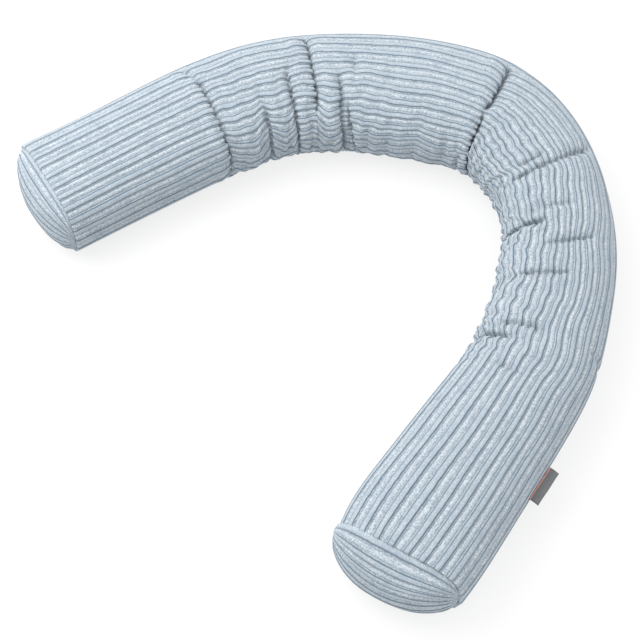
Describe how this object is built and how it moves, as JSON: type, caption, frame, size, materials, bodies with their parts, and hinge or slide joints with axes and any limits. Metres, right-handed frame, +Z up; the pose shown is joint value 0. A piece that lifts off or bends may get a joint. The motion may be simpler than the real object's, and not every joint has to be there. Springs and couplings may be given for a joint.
{
  "type": "cuddle pillow",
  "caption": "Long filled body pillow in wide and narrow wale corduroy, lying bent into a wide U, with round sewn-in ends and a blank side label.",
  "frame": {"origin": "middle of the underside of the whole pillow, on the surface it lies on", "axes": "+Z up out of the surface; one arm of the U runs towards -X, its bend is at +Y and +X, and the other arm comes down towards -Y"},
  "size_m": [0.9522, 1.0232, 0.1402],
  "materials": {
    "sleeve_corduroy": "pale blue-grey plush corduroy with alternating wide and narrow wales along the tube, matt with a soft pile",
    "end_corduroy": "the same plush corduroy, its wales running from side to side across the round end",
    "label_ribbon": "plain grey woven ribbon, left blank"
  },
  "bodies": {
    "root": {"sleeve": "sleeve_corduroy", "left_end_panel": "end_corduroy", "near_end_panel": "end_corduroy", "side_label": "label_ribbon"}
  },
  "joints": []
}
